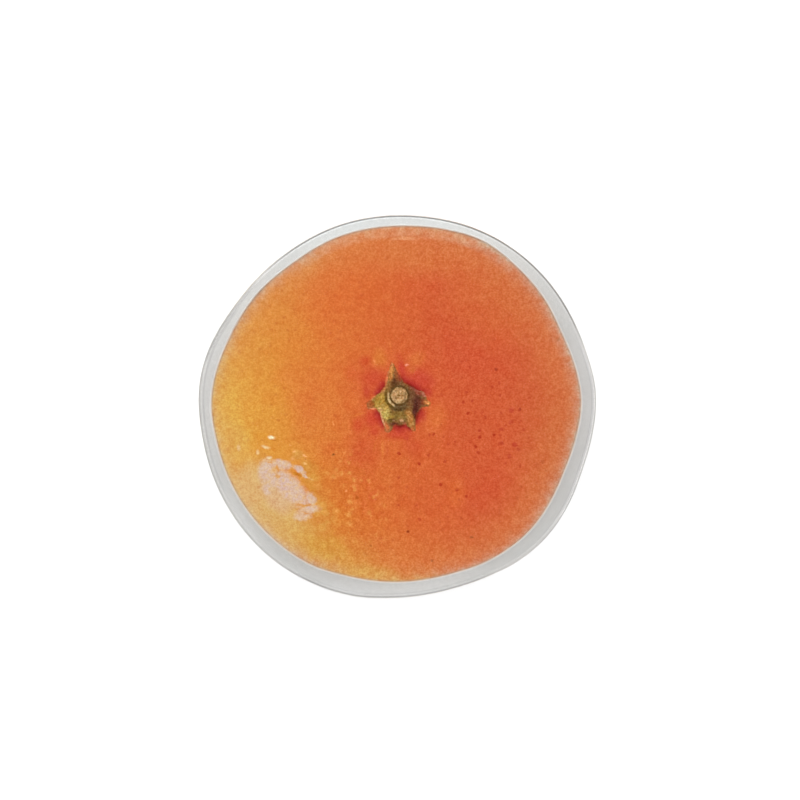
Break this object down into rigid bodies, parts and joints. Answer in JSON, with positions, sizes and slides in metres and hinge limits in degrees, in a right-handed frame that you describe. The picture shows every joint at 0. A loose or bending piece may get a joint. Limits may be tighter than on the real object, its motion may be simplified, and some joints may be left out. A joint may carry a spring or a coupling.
{
  "type": "printed acrylic fridge magnet with a mandarin picture",
  "caption": "Flat clear acrylic plate cut round a printed picture of a mandarin orange, with a see-through margin and a round magnet taped to its back.",
  "frame": {"origin": "middle of the bounding box on the surface that the magnet lies on, face up; the steel side of the disc magnet is at z = 0", "axes": "+Z is the way the picture faces, +Y the top of the picture and +X its right-hand side"},
  "size_m": [0.056, 0.054, 0.0077],
  "materials": {
    "ferrite": "dark grey pressed ferrite, dull and finely grained",
    "foam_tape": "white closed-cell foam with open cut edges",
    "white_ink": "satin white ink laid down in fine passes",
    "picture_ink": "printed orange peel, golden at the left and red-orange at the right, with a green and brown calyx",
    "clear_acrylic": "clear cast acrylic with polished faces and softly rounded cut edges"
  },
  "bodies": {
    "root": {"disc_magnet": "ferrite", "tape_pad": "foam_tape", "white_backing": "white_ink", "printed_picture": "picture_ink", "clear_plate": "clear_acrylic"}
  },
  "joints": []
}
